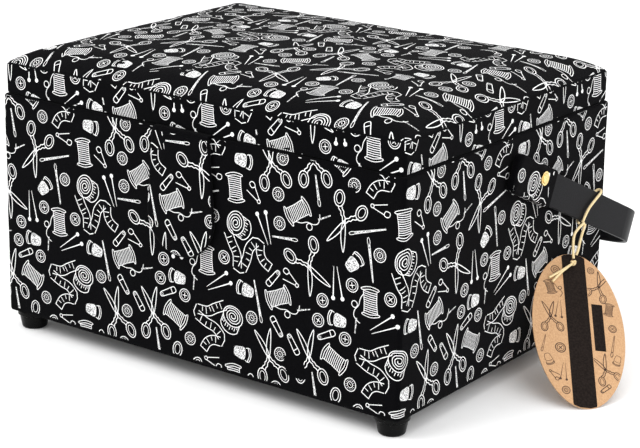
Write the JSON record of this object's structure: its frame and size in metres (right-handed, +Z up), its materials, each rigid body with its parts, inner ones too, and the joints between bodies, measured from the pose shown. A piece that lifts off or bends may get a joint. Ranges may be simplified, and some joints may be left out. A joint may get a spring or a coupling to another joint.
{
  "type": "sewing box with trays",
  "caption": "Fabric-covered sewing box with a padded hinged lid, front closing flap, swinging bail handle, hang tag and lift-out compartment trays on short feet.",
  "frame": {"origin": "centre of the base's underside, level with the bottom edge of the fabric; the feet reach 12 mm below it", "axes": "+X to the right seen from the front, +Y to the back where the hinges are, +Z up; the closing flap hangs on the -Y side"},
  "size_m": [0.4002, 0.3198, 0.2001],
  "materials": {
    "printed_fabric": "fine black weave with a white line print of sewing notions",
    "fibreboard": "5 mm fibreboard",
    "satin_lining": "champagne satin",
    "base_cloth": "black non-woven",
    "foot_plastic": "black moulded",
    "plated_steel": "zinc plated",
    "magnet": "nickel-plated magnet",
    "brass": "polished",
    "foam": "soft foam",
    "pin_cushion_fabric": "padded black cotton",
    "strap_leather": "matte charcoal faux leather",
    "twine": "cream waxed cotton",
    "kraft_card": "kraft card",
    "tray_plastic": "moulded warm white"
  },
  "bodies": {
    "box": {"front_wall": "fibreboard", "back_wall": "fibreboard", "left_wall": "fibreboard", "right_wall": "fibreboard", "base_board": "fibreboard", "base_cover": "base_cloth", "body_cover": "printed_fabric", "body_lining": "satin_lining", "ledge_front": "satin_lining", "ledge_back": "satin_lining", "foot_front_left": "foot_plastic", "foot_back_left": "foot_plastic", "foot_front_right": "foot_plastic", "foot_back_right": "foot_plastic", "foot_screws": "plated_steel", "clasp_plate": "plated_steel", "pivot_stud_left": "plated_steel", "pivot_stud_right": "plated_steel", "hinge_leaf_body_left": "brass", "hinge_leaf_body_right": "brass", "hinge_pin_left": "brass", "hinge_pin_right": "brass", "hinge_screws_body": "brass"},
    "lid": {"lid_board": "fibreboard", "lid_rim_front": "fibreboard", "lid_rim_back": "fibreboard", "lid_rim_left": "fibreboard", "lid_rim_right": "fibreboard", "lid_pad": "foam", "lid_cover": "printed_fabric", "lid_lining": "satin_lining", "lid_pocket": "satin_lining", "pin_cushion": "pin_cushion_fabric", "hinge_leaf_lid_left": "brass", "hinge_leaf_lid_right": "brass", "hinge_screws_lid": "brass"},
    "flap": {"flap_fabric": "printed_fabric", "flap_magnet": "magnet"},
    "handle": {"handle_strap": "strap_leather", "handle_sleeve_left": "printed_fabric", "handle_sleeve_right": "printed_fabric", "handle_rivet_left": "brass", "handle_rivet_right": "brass", "string_loop": "twine"},
    "tag": {"tag_card": "kraft_card", "string_front": "twine", "string_back": "twine", "string_knot": "twine"},
    "tray_left": {"tray_left": "tray_plastic"},
    "tray_right": {"tray_right": "tray_plastic"}
  },
  "joints": [
    {"name": "lid_hinge", "type": "hinge", "parent": "box", "child": "lid", "pos_m": [0, 0.1246, 0.152], "axis": [-1, 0, 0], "range_deg": [0, 105]},
    {"name": "flap_hinge", "type": "hinge", "parent": "lid", "child": "flap", "pos_m": [0, -0.1249, 0.1513], "axis": [-1, 0, 0], "range_deg": [0, 110]},
    {"name": "handle_pivot", "type": "hinge", "parent": "box", "child": "handle", "pos_m": [0, 0, 0.128], "axis": [1, 0, 0], "range_deg": [0, 229]},
    {"name": "tag_swing", "type": "hinge", "parent": "handle", "child": "tag", "pos_m": [0.16895, 0.08082, 0.07721], "axis": [0.9848, -0.0868, -0.1504], "range_deg": [-229, 0]},
    {"name": "tray_left_lift", "type": "slide", "parent": "box", "child": "tray_left", "axis": [0, 0, 1], "range_m": [0, 0.033]},
    {"name": "tray_right_lift", "type": "slide", "parent": "box", "child": "tray_right", "axis": [0, 0, 1], "range_m": [0, 0.033]}
  ],
  "couplings": [
    {"joint": "tag_swing", "follows": "handle_pivot", "ratio": -1},
    {"joint": "tray_left_lift", "follows": "lid_hinge", "m_per_rad": 0.018},
    {"joint": "tray_right_lift", "follows": "lid_hinge", "m_per_rad": 0.018}
  ]
}
